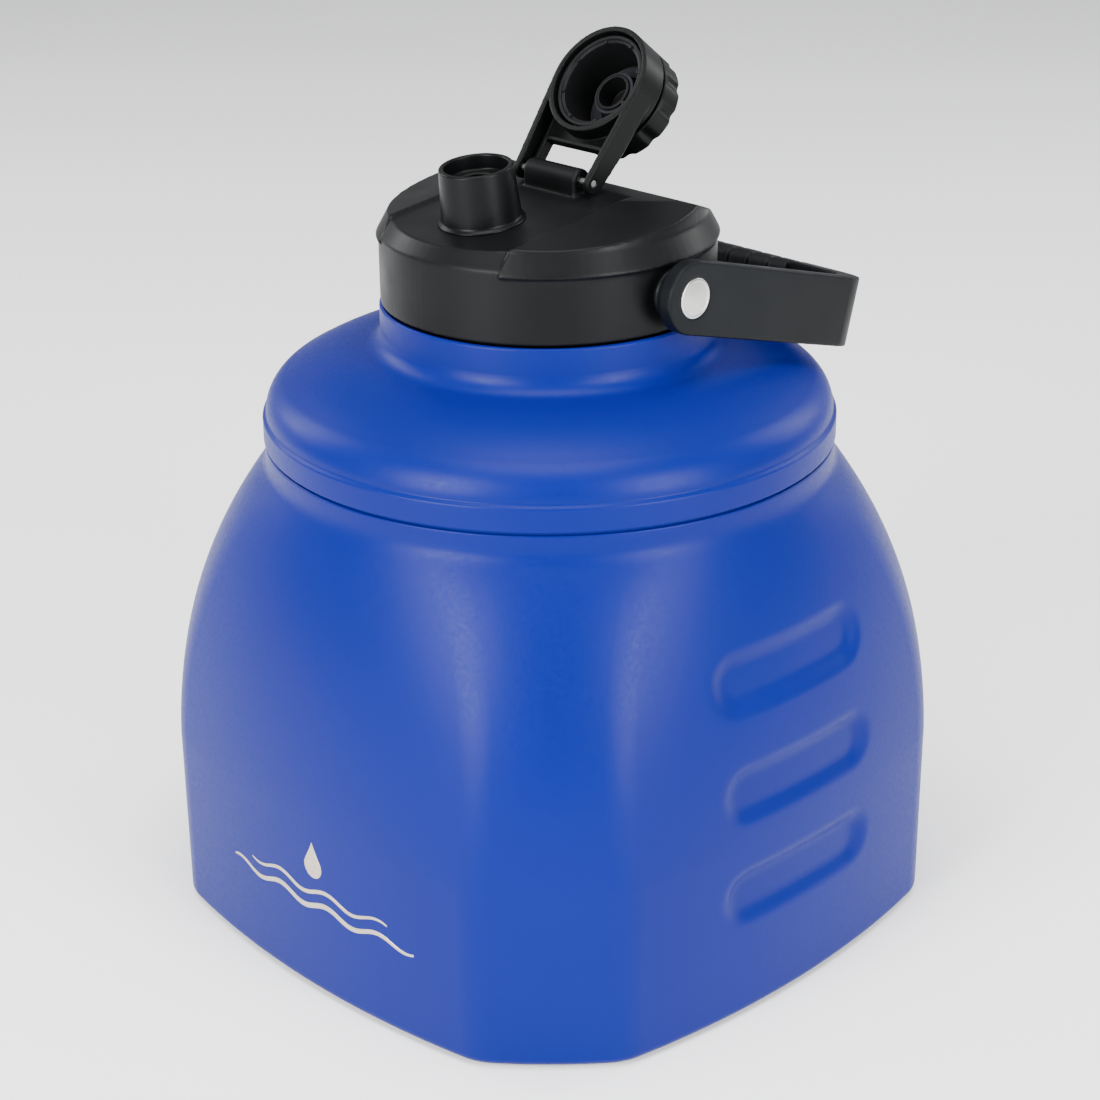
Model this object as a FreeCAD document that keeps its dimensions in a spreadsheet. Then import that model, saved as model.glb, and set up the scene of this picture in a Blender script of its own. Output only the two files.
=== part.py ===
import FreeCAD, Part
import math
import os

import Sketcher
from FreeCAD import Placement, Rotation, Vector

# Large insulated water jug: a square-shouldered double-wall steel jug with a screw lid, a chug spout
# under a flip-up cap with a twist knob, and a swinging carry handle.
# Frame: +Z up, origin at the centre of the base, spout towards -Y, all hinge axes along X. Millimetres.

doc = FreeCAD.newDocument("WaterJug")
X_AXIS, Y_AXIS, Z_AXIS = Vector(1, 0, 0), Vector(0, 1, 0), Vector(0, 0, 1)
ALONG_X = Rotation(Y_AXIS, 90)

# ---------------------------------------------------------------- driving dimensions
SIZES = [
    ("steel_wall", 1.0, "wall of the outer steel shell"),
    ("liner_wall", 0.8, "wall of the inner vessel"),
    ("face_half", 127.5, "centre of a flat side to the axis"),
    ("corner_reach", 143.2, "middle of a cut corner to the axis"),
    ("wall_top", 70.0, "height where the upright walls begin to lean in"),
    ("collar_radius", 105.4, "round collar on top of the square body"),
    ("collar_low", 177.5, "height where body and collar meet"),
    ("seam_height", 185.6, "top edge of the body shell"),
    ("band_radius", 105.7, "raised band above the seam"),
    ("band_low", 186.6, "lower edge of the band"),
    ("band_high", 196.4, "upper edge of the band"),
    ("dome_radius", 104.4, "upright edge of the dome"),
    ("neck_radius", 61.5, "painted collar below the lid"),
    ("neck_top", 236.3, "top of the painted collar"),
    ("dome_top", 220.4, "height where the dome meets the neck"),
    ("shell_low", 1.6, "lower edge of the shell"),
    ("plate_low", 3.0, "underside of the base plate"),
    ("mouth_radius", 51.1, "inside of the mouth"),
    ("mouth_top", 256.4, "rim of the mouth"),
    ("liner_gap", 7.0, "vacuum gap plus outer wall at the sides"),
    ("liner_low", 12.0, "underside of the inner vessel"),
    ("thread_root", 54.0, "neck ring outside"),
    ("thread_crest", 55.7, "neck thread crest"),
    ("thread_pitch", 10.0, "lid rise per turn"),
    ("lid_radius", 61.0, "lid wall outside"),
    ("lid_low", 236.9, "lower edge of the lid"),
    ("lid_wall", 2.6, "lid wall thickness"),
    ("lid_edge", 262.5, "upper edge of the lid wall"),
    ("lid_front", 267.7, "top face height at the front rim"),
    ("rim_radius", 57.2, "radius of the top rim"),
    ("ridge_height", 276.2, "highest line of the lid top"),
    ("ridge_place", 20.0, "how far the ridge lies behind the axis"),
    ("top_tilt", 7.0, "slope of the top face, degrees"),
    ("channel_half", 30.7, "half width of the sunk channel in the top"),
    ("shoulder_radius", 62.0, "lid shoulders outside"),
    ("pivot_height", 250.5, "handle pivot above the base"),
    ("hinge_place", 4.5, "cap hinge behind the axis"),
    ("hinge_height", 280.2, "cap hinge above the base"),
    ("hinge_lift", 4.9, "cap hinge above the sloping top face"),
    ("cap_reach", 37.5, "cap hinge to the spout and cap axis"),
    ("open_angle", 52.0, "open cap arm above level, degrees"),
    ("spout_radius", 13.1, "spout outside at the rim"),
    ("spout_base", 14.3, "spout outside at the foot"),
    ("spout_bore", 11.3, "spout inside at the rim"),
    ("drink_bore", 8.7, "spout inside below the ledge"),
    ("spout_rise", 20.2, "spout above the top face"),
    ("cap_radius", 21.0, "cap ring and knob outside"),
    ("ring_bore", 19.0, "cap ring inside"),
    ("ring_front", 3.0, "open face of the ring from the hinge plane"),
    ("ring_back", -8.7, "back face of the ring"),
    ("knob_front", -9.9, "front face of the knob"),
    ("knob_back", -19.7, "outer face of the knob"),
    ("cup_bore", 15.5, "inside of the stopper cup"),
    ("cup_floor", -16.4, "floor of the stopper cup"),
    ("plug_radius", 7.1, "stopper plug tube outside"),
    ("plug_tip", -6.9, "tip of the plug tube"),
    ("pin_radius", 1.2, "cap hinge pin"),
    ("arm_half", 18.9, "half width of the cap arm at the hinge"),
    ("handle_out", 72.0, "outer face of the handle arms"),
    ("handle_in", 66.2, "inner face of the handle arms"),
    ("handle_half", 13.0, "half width of the handle strap"),
    ("handle_reach", 101.0, "pivot to the far side of the grip"),
    ("grip_inner", 88.0, "pivot to the near side of the grip"),
    ("droop_angle", 16.0, "resting handle below level, degrees"),
    ("bush_radius", 5.0, "handle pivot bush"),
    ("disc_radius", 7.2, "steel cover disc on the pivot"),
]


class Size:
    """A number together with the sheet expression that gives it."""

    def __init__(self, value, text):
        self.value = float(value)
        self.text = text

    def _join(self, other, sign, result):
        return Size(result, f"({self.text} {sign} {text_of(other)})")

    def __add__(self, other):
        return self._join(other, "+", self.value + number(other))

    def __sub__(self, other):
        return self._join(other, "-", self.value - number(other))

    def __rsub__(self, other):
        return Size(number(other) - self.value, f"({text_of(other)} - {self.text})")

    def __mul__(self, other):
        return self._join(other, "*", self.value * number(other))

    def __neg__(self):
        return Size(-self.value, f"(0 - {self.text})")


def number(size):
    return size.value if isinstance(size, Size) else float(size)


def text_of(size):
    return size.text if isinstance(size, Size) else f"{float(size):.6f}"


sheet = doc.addObject("Spreadsheet::Sheet", "Sizes")
for row, (alias, amount, note) in enumerate(SIZES, start=1):
    sheet.set(f"A{row}", note)
    sheet.set(f"B{row}", str(amount))
    sheet.setAlias(f"B{row}", alias)
doc.recompute()


def size(alias):
    return Size(getattr(sheet, alias), f"Sizes.{alias}")


# ---------------------------------------------------------------- drawing helpers
nodes = []


def keep(item, label):
    """Gives a finished sub-part its name."""
    item.Label = label
    nodes.append(item)
    return item


def new_body(label):
    return keep(doc.addObject("PartDesign::Body", label + "_body"), label)


def plane_of(body, role):
    return next(item for item in body.Origin.OriginFeatures if item.Role == role)


def new_sketch(body, role, height=0):
    """A sketch on one of the body's own origin planes, raised by height along the plane's normal."""
    sketch = body.newObject("Sketcher::SketchObject", body.Name + "_sketch")
    sketch.AttachmentSupport = [(plane_of(body, role), "")]
    sketch.MapMode = "FlatFace"
    sketch.AttachmentOffset = Placement(Vector(0, 0, number(height)), Rotation())
    if isinstance(height, Size):
        sketch.setExpression(".AttachmentOffset.Base.z", height.text)
    return sketch


def arc_between(start, end, radius):
    """Arc from start to end, drawn anticlockwise. A positive radius bulges to the right of the travel."""
    first, last = (start, end) if radius > 0 else (end, start)
    chord = last - first
    depth = math.sqrt(radius * radius - chord.Length ** 2 / 4)
    centre = (first + last) * 0.5 + Vector(-chord.y, chord.x, 0).normalize() * depth
    angles = [math.atan2(spot.y - centre.y, spot.x - centre.x) for spot in (first, last)]
    return Part.ArcOfCircle(Part.Circle(centre, Z_AXIS, abs(radius)), *angles)


def draw(sketch, corners):
    """Closed outline. A corner is (x, y) or (x, y, radius), where radius bends the line that ends there."""
    spots = [Vector(number(c[0]), number(c[1]), 0) for c in corners]
    first = sketch.GeometryCount
    ends = []
    for i, corner in enumerate(corners):
        bent = len(corner) == 3
        if bent:
            sketch.addGeometry(arc_between(spots[i - 1], spots[i], number(corner[2])))
        else:
            sketch.addGeometry(Part.LineSegment(spots[i - 1], spots[i]))
        ends.append((2, 1) if bent and number(corner[2]) < 0 else (1, 2))
    for i, corner in enumerate(corners):
        index = first + i
        after = (i + 1) % len(corners)
        sketch.addConstraint(
            Sketcher.Constraint("Coincident", index, ends[i][1], first + after, ends[after][0])
        )
        for axis, amount, line in (("DistanceX", corner[0], -2), ("DistanceY", corner[1], -1)):
            if number(amount) == 0:
                sketch.addConstraint(Sketcher.Constraint("PointOnObject", index, ends[i][1], line))
                continue
            place = sketch.addConstraint(
                Sketcher.Constraint(axis, -1, 1, index, ends[i][1], number(amount))
            )
            if isinstance(amount, Size):
                sketch.setExpression(f"Constraints[{place}]", amount.text)
        if len(corner) == 3:
            sketch.addConstraint(Sketcher.Constraint("Radius", index, abs(number(corner[2]))))
    return sketch


def draw_circle(sketch, x, y, radius):
    index = sketch.addGeometry(Part.Circle(Vector(number(x), number(y), 0), Vector(0, 0, 1), number(radius)))
    for axis, amount, line in (("DistanceX", x, -2), ("DistanceY", y, -1)):
        if number(amount) == 0:
            sketch.addConstraint(Sketcher.Constraint("PointOnObject", index, 3, line))
            continue
        place = sketch.addConstraint(Sketcher.Constraint(axis, -1, 1, index, 3, number(amount)))
        if isinstance(amount, Size):
            sketch.setExpression(f"Constraints[{place}]", amount.text)
    place = sketch.addConstraint(Sketcher.Constraint("Radius", index, number(radius)))
    if isinstance(radius, Size):
        sketch.setExpression(f"Constraints[{place}]", radius.text)
    return sketch


def feature(body, kind, profile=None):
    item = body.newObject("PartDesign::" + kind, f"{body.Name}_{kind}")
    if profile is not None:
        item.Profile = profile
        profile.Visibility = False
    return item


def turn(body, corners, cut=False):
    """A ring or disc turned about Z, from an outline in (radius, height)."""
    item = feature(body, "Groove" if cut else "Revolution", draw(new_sketch(body, "XZ_Plane"), corners))
    item.ReferenceAxis = (item.Profile[0], ["V_Axis"])
    item.Angle = 360
    return item


def raise_from(body, sketch, length, midplane=False, reverse=False):
    item = feature(body, "Pad", sketch)
    item.Length = number(length)
    if isinstance(length, Size):
        item.setExpression("Length", length.text)
    item.Midplane = midplane
    item.Reversed = reverse
    return item


def cut_from(body, sketch, length, midplane=False, reverse=False):
    """A pocket; the volume must fall, or the direction was wrong."""
    doc.recompute()
    before = body.Tip.Shape.Volume
    item = feature(body, "Pocket", sketch)
    item.Length = number(length)
    item.Midplane = midplane
    item.Reversed = reverse
    doc.recompute()
    assert item.Shape.Volume < before - 1e-3, body.Label + ": a pocket cut nothing"
    return item


def round_edges(body, radius, wanted, kind="Fillet"):
    """Rounds the edges for which wanted(edge) is true."""
    doc.recompute()
    base = body.Tip
    names = [f"Edge{i}" for i, edge in enumerate(base.Shape.Edges, start=1) if wanted(edge)]
    assert names, body.Label + ": no edge to round"
    item = feature(body, kind)
    item.Base = (base, names)
    if kind == "Fillet":
        item.Radius = radius
    else:
        item.Size = radius
    doc.recompute()
    return item


def ring_edge(*rings):
    """Picks full circles about Z by (radius, height)."""

    def wanted(edge):
        curve = edge.Curve
        if not isinstance(curve, Part.Circle):
            return False
        return any(
            abs(curve.Radius - number(r)) < 0.01 and abs(curve.Center.z - number(z)) < 0.01
            for r, z in rings
        )

    return wanted


def solid_of(kind, **sizes):
    """A Part primitive with its sizes bound to the sheet."""
    item = doc.addObject("Part::" + kind, kind.lower())
    for name, amount in sizes.items():
        setattr(item, name, number(amount))
        if isinstance(amount, Size):
            item.setExpression(name, amount.text)
    item.Visibility = False
    return item


def joined(*items):
    fuse = doc.addObject("Part::MultiFuse", "joined")
    fuse.Shapes = list(items)
    return fuse


def minus(base, *tools):
    for tool in tools:
        cut = doc.addObject("Part::Cut", "cut")
        cut.Base = base
        cut.Tool = tool
        base = cut
    return base


def common(base, tool):
    item = doc.addObject("Part::Common", "common")
    item.Base = base
    item.Tool = tool
    return item


def placed(item, x=0, y=0, z=0, rotation=None):
    item.Placement = Placement(Vector(number(x), number(y), number(z)), rotation or Rotation())
    return item


steel = size("steel_wall")
seam = size("seam_height")

# ---------------------------------------------------------------- the square body
# Every level of the body is a closed outline of sixteen tangent arcs: four flat sides, four cut corners
# and the eight small bends between them. Towards the collar all the arcs grow into one circle.
BEND_RADIUS = 24.0
SIDE_TURN = (11.3, 21.0)
CORNER_TURN = (39.5, 29.0)


def lean(reach, top_reach, rise):
    """Reach of a wall that leaves the upright as an arc and ends at top_reach at the collar."""
    span = sheet.collar_low - sheet.wall_top
    drop = reach - top_reach
    radius = (span * span + drop * drop) / (2 * drop)
    return reach - (radius - math.sqrt(radius * radius - rise * rise))


def outline(height, inset):
    """The sixteen arcs of one level as (normal angle from, to, radius, centre), inset all round."""
    rise = max(0.0, height - sheet.wall_top)
    share = min(1.0, rise / (sheet.collar_low - sheet.wall_top))
    side = lean(sheet.face_half, sheet.collar_radius, rise)
    corner = lean(sheet.corner_reach, sheet.collar_radius, rise)
    first = math.radians(SIDE_TURN[0] + (SIDE_TURN[1] - SIDE_TURN[0]) * share)
    second = math.radians(CORNER_TURN[0] + (CORNER_TURN[1] - CORNER_TURN[0]) * share)
    middle = math.radians(45)
    bend = 1 / ((1 - share) / BEND_RADIUS + share / sheet.collar_radius)
    # The side and corner radii follow from where the chain of arcs must start and end.
    across = side - corner * math.cos(middle) - bend * (math.cos(first) - math.cos(second))
    along = corner * math.sin(middle) - bend * (math.sin(second) - math.sin(first))
    a, b = 1 - math.cos(first), math.cos(second) - math.cos(middle)
    c, d = math.sin(first), math.sin(middle) - math.sin(second)
    flat = (across * d - b * along) / (a * d - b * c)
    cut = (a * along - across * c) / (a * d - b * c)
    side_centre = Vector(side - flat, 0, 0)
    bend_centre = side_centre + Vector(math.cos(first), math.sin(first), 0) * (flat - bend)
    corner_centre = bend_centre + Vector(math.cos(second), math.sin(second), 0) * (bend - cut)
    far_bend = Vector(bend_centre.y, bend_centre.x, 0)
    square = math.radians(90)
    quarter_arcs = (
        (-first, first, flat, side_centre),
        (first, second, bend, bend_centre),
        (second, square - second, cut, corner_centre),
        (square - second, square - first, bend, far_bend),
    )
    arcs = []
    for quarter in range(4):
        turned = Rotation(Z_AXIS, 90 * quarter)
        for start, end, radius, centre in quarter_arcs:
            base = quarter * square
            arcs.append((base + start, base + end, radius - inset, turned.multVec(centre)))
    return arcs


def add_outline(sketch, height, inset):
    for start, end, radius, centre in outline(height, inset):
        sketch.addGeometry(Part.ArcOfCircle(Part.Circle(centre, Z_AXIS, radius), start, end))
    return sketch


def square_loft(name, inset, low, high):
    """A solid with the body's outer form, inset all round, from low up to high."""
    levels = [low, (low + sheet.wall_top) / 2, sheet.wall_top]
    levels += [sheet.wall_top + (high - sheet.wall_top) * k / 5 for k in range(1, 6)]
    sections = []
    for number_of, level in enumerate(levels):
        sketch = doc.addObject("Sketcher::SketchObject", f"{name}_level_{number_of}")
        add_outline(sketch, level, inset)
        sketch.Placement = Placement(Vector(0, 0, level), Rotation())
        sketch.Visibility = False
        sections.append(sketch)
    loft = doc.addObject("Part::Loft", name)
    loft.Sections = sections
    loft.Solid = True
    loft.Ruled = False
    loft.MaxDegree = 3
    return loft


def disc(radius, low, high):
    item = solid_of("Cylinder", Radius=radius, Height=number(high) - number(low))
    return placed(item, z=low)


# Finger recesses: three shallow bent troughs across each of the two sides under the handle's hinges.
RECESS_HEIGHTS = (49.5, 89.5, 129.5)
RECESS_DEPTH = 2.6
RECESS_TUBE = 20.0
RECESS_HALF = 30.0
FACE_BEND = 334.0


def recess_tool(height, side, extra):
    """A bent round bar with ball ends that presses one recess; extra thickens it for the inner wall."""
    reach = lean(sheet.face_half, sheet.collar_radius, max(0.0, height - sheet.wall_top))
    bend = FACE_BEND - RECESS_DEPTH + RECESS_TUBE
    half_turn = math.degrees(RECESS_HALF / FACE_BEND)
    bar = solid_of("Torus", Radius1=bend, Radius2=RECESS_TUBE + extra, Angle3=2 * half_turn)
    middle = side * (reach - FACE_BEND)
    turned = -half_turn if side > 0 else 180 - half_turn
    placed(bar, x=middle, z=height, rotation=Rotation(Z_AXIS, turned))
    balls = []
    for end in (-1, 1):
        angle = math.radians(end * half_turn)
        ball = solid_of("Sphere", Radius=RECESS_TUBE + extra)
        placed(ball, x=middle + side * bend * math.cos(angle), y=bend * math.sin(angle), z=height)
        balls.append(ball)
    return joined(bar, *balls)


def recess_tools(extra):
    return joined(*[recess_tool(height, side, extra) for height in RECESS_HEIGHTS for side in (1, -1)])


low, top = sheet.shell_low, sheet.collar_low
collar = disc(size("collar_radius"), size("collar_low") - 1, seam)
collar_hole = disc(size("collar_radius") - steel, size("collar_low") - 2, seam + 1)
outer_form = joined(square_loft("outer_form", 0, low, top), collar)
inner_form = square_loft("inner_form", sheet.steel_wall, low - 1, top)
cavity = joined(minus(inner_form, recess_tools(sheet.steel_wall)), collar_hole)
keep(minus(outer_form, cavity, recess_tools(0)), "outer_shell")

# The base plate closes the shell; the pad below it carries the jug and leaves the seal cap visible.
plate_body = new_body("base_plate")
raise_from(plate_body, add_outline(new_sketch(plate_body, "XY_Plane", size("plate_low")), 0, 1.05), 1.2)
cut_from(plate_body, draw_circle(new_sketch(plate_body, "XY_Plane", size("plate_low") + 1.2), 0, 0, 6.0), 2)

pad_body = new_body("base_pad")
raise_from(pad_body, add_outline(new_sketch(pad_body, "XY_Plane"), 0, 4.5), size("plate_low"))
hole = draw_circle(new_sketch(pad_body, "XY_Plane", size("plate_low")), 0, 0, 22.0)
cut_from(pad_body, hole, 4)
round_edges(pad_body, 1.0, lambda edge: abs(edge.CenterOfMass.z) < 0.01)

cap_low = size("plate_low")
turn(new_body("vacuum_seal_cap"), [
    (0, cap_low - 1.2), (11, cap_low - 1.2), (12.4, cap_low - 0.05), (5.9, cap_low - 0.05),
    (5.9, cap_low + 2.2), (0, cap_low + 2.2),
])

# ---------------------------------------------------------------- dome, inner vessel and neck
dome = size("dome_radius")
neck = size("neck_radius")
neck_top = size("neck_top")
dome_top = size("dome_top")
band = size("band_radius")
low_band, high_band = size("band_low"), size("band_high")

dome_body = new_body("shoulder_dome")
turn(dome_body, [
    (neck - 1.2, neck_top), (neck, neck_top - 1.8), (neck, dome_top), (96.0, dome_top - 11.2, -80.0),
    (dome, high_band + 1.3, -15.0), (dome, high_band), (band, high_band - 1.2), (band, low_band),
    (dome - 0.1, low_band), (dome - 0.1, 180.0), (dome - 0.1 - steel, 180.0), (dome - 0.1 - steel, high_band),
    (95.4, dome_top - 12.1, 14.2), (neck - 1.0, dome_top - 1.1, 79.0), (neck - 1.0, neck_top - 1.2),
    (54.1, neck_top - 1.2), (54.1, neck_top),
])

liner = size("liner_wall")
gap = size("liner_gap")
mouth = size("mouth_radius")
mouth_top = size("mouth_top")
vessel_top = 172.0


def vessel_form(name, thin):
    """The inner vessel's outside (thin 0) or inside (thin 1 wall)."""
    shrink = liner * thin
    reach = size("collar_radius") - gap - shrink
    body = square_loft(name + "_walls", sheet.liner_gap + shrink.value, sheet.liner_low + shrink.value,
                       sheet.collar_low)
    tube = doc.addObject("PartDesign::Body", name + "_top")
    turn(tube, [
        (0, vessel_top), (reach, vessel_top), (reach, 190.0), (90.0 - shrink, 203.0 - shrink, -14.0),
        (mouth + liner - shrink, 212.0 - shrink, -85.0), (mouth + liner - shrink, mouth_top + thin),
        (0, mouth_top + thin),
    ])
    return joined(body, tube)


keep(minus(vessel_form("vessel_outside", 0), vessel_form("vessel_inside", 1)), "inner_vessel")

ring_low = 229.0
ring_body = new_body("neck_ring")
root, crest, pitch = size("thread_root"), size("thread_crest"), size("thread_pitch")
turn(ring_body, [
    (mouth + liner + 0.05, ring_low), (root, ring_low), (root, mouth_top), (mouth + liner + 0.05, mouth_top),
])


def add_thread(body, foot_radius, tip_radius, start, turns, phase):
    """A helical ridge, widest at foot_radius, that starts at the given height and turn."""
    foot, tip = 4.2, 2.0
    sketch = new_sketch(body, "XZ_Plane")
    sketch.AttachmentOffset = Placement(Vector(), Rotation(Y_AXIS, phase))
    draw(sketch, [
        (foot_radius, start - foot / 2), (tip_radius, start - tip / 2),
        (tip_radius, start + tip / 2), (foot_radius, start + foot / 2),
    ])
    doc.recompute()
    before = body.Tip.Shape.Volume
    helix = feature(body, "AdditiveHelix", sketch)
    helix.ReferenceAxis = (sketch, ["V_Axis"])
    helix.Mode = 1
    helix.Pitch = pitch.value
    helix.setExpression("Pitch", pitch.text)
    helix.Turns = turns
    helix.Angle = 0
    helix.Growth = 0
    doc.recompute()
    assert helix.Shape.Volume > before + 1, body.Label + ": the thread added nothing"


add_thread(ring_body, root - 0.6, crest, 244.0, 0.9, 0)

# ---------------------------------------------------------------- lid
lid_low, lid_edge, lid_radius = size("lid_low"), size("lid_edge"), size("lid_radius")
tilt = sheet.top_tilt
half = sheet.channel_half
hinge_y, hinge_z = sheet.hinge_place, sheet.hinge_height
TILTED = Rotation(X_AXIS, tilt)
SHOULDER_FALL = 7.35
SHOULDER_FRONT = -47.2
SHOULDER_HEIGHT = 270.0
REAR_FALL = 20.3
slope = (sheet.rim_radius - sheet.lid_radius) / (sheet.lid_front - sheet.lid_edge)


def turned_solid(name, corners):
    body = doc.addObject("PartDesign::Body", name)
    turn(body, corners)
    return body


def block(x0, x1, y0, y1, z0, z1):
    item = solid_of("Box", Length=x1 - x0, Width=y1 - y0, Height=z1 - z0)
    return placed(item, x0, y0, z0)


def tilted_block(corner, rotation, length, width, height, shift):
    """A block whose own frame is turned by rotation about corner; shift moves it within that frame."""
    item = solid_of("Box", Length=length, Width=width, Height=height)
    item.Placement = Placement(corner, rotation) * Placement(shift, Rotation())
    return item


def bar_along_x(radius, x0, x1, y, z):
    item = solid_of("Cylinder", Radius=radius, Height=number(x1) - number(x0))
    return placed(item, number(x0), y, z, ALONG_X)


def mirrored_pair(make):
    return [make(1), make(-1)]


outer_top = sheet.ridge_height + 2
lid_form = turned_solid("lid_form", [
    (0, lid_low), (lid_radius, lid_low), (lid_radius, lid_edge),
    (lid_radius + slope * (outer_top - sheet.lid_edge), outer_top), (0, outer_top),
])
shoulder = size("shoulder_radius")
shoulder_form = turned_solid("shoulder_form", [
    (0, 259.6), (lid_radius - 0.4, 259.6), (shoulder, 261.0), (shoulder - 4.4, 269.0),
    (shoulder - 5.2, outer_top), (0, outer_top),
])
front_gap = block(-half, half, -80.0, 0.0, 255.0, 290.0)
channel_cut = tilted_block(Vector(0, -sheet.rim_radius, sheet.lid_front), TILTED, 2 * half, 110, 30,
                           Vector(-half, -20, 0))


def shoulder_cut(side):
    """The block above one sloping lid shoulder."""
    corner = Vector(side * half, SHOULDER_FRONT, SHOULDER_HEIGHT)
    rotation = TILTED * Rotation(Y_AXIS, side * SHOULDER_FALL)
    return tilted_block(corner, rotation, 64, 110, 30, Vector(-4 if side > 0 else -60, -30, 0))


ridge_cut = block(-80.0, 80.0, -80.0, 80.0, sheet.ridge_height, sheet.ridge_height + 30)
rear_cut = tilted_block(Vector(0, sheet.ridge_place, sheet.ridge_height), Rotation(X_AXIS, -REAR_FALL),
                        160, 80, 30, Vector(-80, 0, 0))
pivot_z = sheet.pivot_height
boss_face = 65.9
bosses = mirrored_pair(lambda side: bar_along_x(8.0, *sorted((side * 50.0, side * boss_face)), 0, pivot_z))
knuckle = 4.3
knuckle_half = 12.8
hinge_block = joined(
    bar_along_x(knuckle, -knuckle_half, knuckle_half, hinge_y, hinge_z),
    block(-knuckle_half, knuckle_half, hinge_y - knuckle, hinge_y + knuckle, 271.0, hinge_z),
)
skirt_hollow = disc(lid_radius - size("lid_wall"), lid_low - 1, 259.5)
upper_hollow = common(
    tilted_block(Vector(0, -sheet.rim_radius, sheet.lid_front), TILTED, 54, 62, 20, Vector(-27, 10, -23)),
    disc(50.0, 259.0, 290.0),
)
spout_foot = Vector(0, hinge_y, hinge_z) + TILTED.multVec(Vector(0, -sheet.cap_reach, -sheet.hinge_lift))


def on_spout(item, rise=0.0):
    """Puts an item on the spout's axis, rise above the sloping top face."""
    item.Placement = Placement(spout_foot, TILTED) * Placement(Vector(0, 0, rise), Rotation())
    return item


spout_hole = on_spout(solid_of("Cylinder", Radius=size("spout_base") + 0.1, Height=30), -15)
pin_bore = bar_along_x(size("pin_radius") + 0.02, -20.0, 20.0, hinge_y, hinge_z)
screw_bores = mirrored_pair(lambda side: bar_along_x(2.2, *sorted((side * 55.0, side * 70.0)), 0, pivot_z))
lid_top = minus(joined(lid_form, minus(shoulder_form, front_gap)), channel_cut, *mirrored_pair(shoulder_cut),
                ridge_cut, rear_cut)
keep(minus(joined(lid_top, *bosses, hinge_block), skirt_hollow, upper_hollow, spout_hole, pin_bore, *screw_bores),
     "lid_shell")

liner_plate = 258.0
lid_liner = new_body("lid_liner")
turn(lid_liner, [
    (57.0, lid_low + 1.5), (58.2, lid_low + 1.5), (58.2, 259.4), (0, 259.4), (0, liner_plate),
    (57.0, liner_plate),
])
add_thread(lid_liner, size("thread_root") + 3.4, size("thread_crest") - 1.0, 244.0, 0.9, 180)
plate_sketch = new_sketch(lid_liner, "XY_Plane", 262.0)
draw_circle(plate_sketch, 0, spout_foot.y + math.sin(math.radians(tilt)) * 12, size("drink_bore") - 0.4)
cut_from(lid_liner, plate_sketch, 6)

turn(new_body("lid_gasket"), [
    (50.5, mouth_top + 0.2), (56.5, mouth_top + 0.2), (56.5, liner_plate - 0.2), (50.5, liner_plate - 0.2),
])

spout_body = new_body("spout")
foot, rise, bore = size("spout_base"), size("spout_rise"), size("spout_bore")
turn(spout_body, [
    (size("drink_bore"), -8.5), (foot, -8.5), (foot, 0.1), (foot + 1.2, 0.1), (foot + 1.2, 0.6),
    (foot - 0.1, 1.8), (size("spout_radius"), rise), (bore, rise), (bore, rise - 5.4),
    (size("drink_bore"), rise - 6.2),
])
round_edges(spout_body, 0.8, ring_edge((size("spout_radius"), rise), (bore, rise)))
on_spout(spout_body)

pin_body = new_body("hinge_pin")
arm_half = size("arm_half")
raise_from(pin_body, draw_circle(new_sketch(pin_body, "YZ_Plane"), 0, 0, size("pin_radius")),
           arm_half * 2 - 0.4, midplane=True)
placed(pin_body, 0, hinge_y, hinge_z)

# ---------------------------------------------------------------- cap: arm, knob, stopper
# These parts are drawn in the arm's own frame: X across, Y from the hinge pin along the arm and Z out
# of the cap's open side. OPENED carries that frame to the open arm.
OPENED = Placement(Vector(0, hinge_y, hinge_z), Rotation(X_AXIS, sheet.open_angle))
reach = size("cap_reach")
CAP = OPENED * Placement(Vector(0, reach.value, 0), Rotation())
ring_front, ring_back, cap_radius = size("ring_front"), size("ring_back"), size("cap_radius")
LEG_BACK = -6.0
LEG_WALL = 2.4
WEB_BACK, WEB_FRONT = -5.4, -3.6
WINDOW_HALF, WINDOW_END, WINDOW_RIM = 13.5, 12.5, 1.6


def arm_plate(name, corners, low_z, high_z):
    """A plate of the arm, outlined in its X and Y, between two heights."""
    body = doc.addObject("PartDesign::Body", name)
    raise_from(body, draw(new_sketch(body, "XY_Plane", low_z), corners), number(high_z) - number(low_z))
    return body


def leg(side):
    corners = [
        (arm_half - LEG_WALL, -6.0), (arm_half, -6.0), (arm_half, 0.0), (cap_radius - 0.1, reach - 2.0),
        (cap_radius - LEG_WALL, reach - 2.0), (arm_half - LEG_WALL, 2.0),
    ]
    if side < 0:
        corners = [(-x, y) for x, y in reversed(corners)]
    return arm_plate("leg", corners, LEG_BACK, ring_front)


def side_profile_cut():
    """What is cut away around the rounded hinge ends of the legs, seen from the side."""
    body = doc.addObject("PartDesign::Body", "leg_end_cut")
    sketch = draw(new_sketch(body, "YZ_Plane"), [
        (-9.0, 9.0), (-9.0, -11.0), (15.0, -11.0), (15.0, LEG_BACK), (0.0, -4.5), (-3.9, -0.6, -3.9),
        (0.0, 3.3, -3.9), (5.0, ring_front), (5.0, 9.0),
    ])
    raise_from(body, sketch, 60, midplane=True)
    return body


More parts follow.
